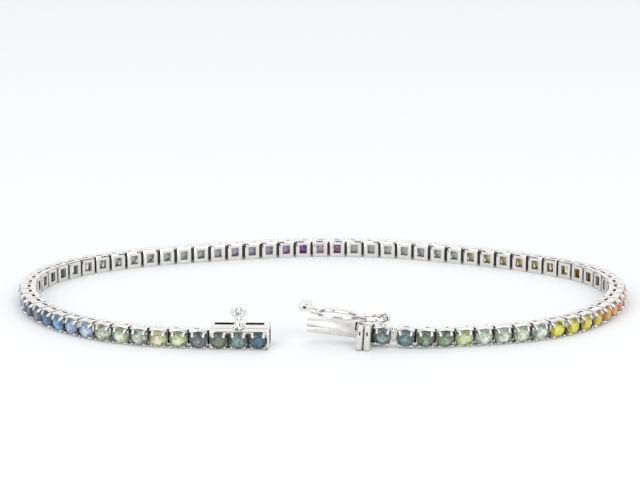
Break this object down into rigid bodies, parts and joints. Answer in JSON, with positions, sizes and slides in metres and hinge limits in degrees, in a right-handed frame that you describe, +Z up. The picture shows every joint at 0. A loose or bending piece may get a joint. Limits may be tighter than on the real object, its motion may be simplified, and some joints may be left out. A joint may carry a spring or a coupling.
{
  "type": "tennis bracelet",
  "caption": "Open tennis bracelet of square claw-set links in a rainbow of round stones, with a box clasp, spring tongue and figure-eight safety latch.",
  "frame": {"origin": "middle of the bracelet's bounding box, on the surface that it stands on", "axes": "+X along the oval loop's long way, from the clasp box towards the tongue, -Y out through the clasp at the front, +Z up, along the wrist's axis"},
  "size_m": [0.0742, 0.046, 0.0051],
  "materials": {
    "line_gold": "polished white gold, stones fused in",
    "clasp_gold": "polished white gold",
    "sapphire": "faceted, polished"
  },
  "bodies": {
    "bracelet": {"right_line": "line_gold", "left_line": "line_gold", "clasp_box": "clasp_gold", "clasp_tongue": "clasp_gold", "end_stone": "sapphire", "box_stone_1": "sapphire", "box_stone_2": "sapphire", "box_stone_3": "sapphire"},
    "latch": {"safety_latch": "clasp_gold"}
  },
  "joints": [
    {"name": "latch_hinge", "type": "hinge", "parent": "bracelet", "child": "latch", "pos_m": [0.007, -0.02115, 0.00342], "axis": [0.1247, 0.9922, 0], "range_deg": [0, 150]}
  ]
}
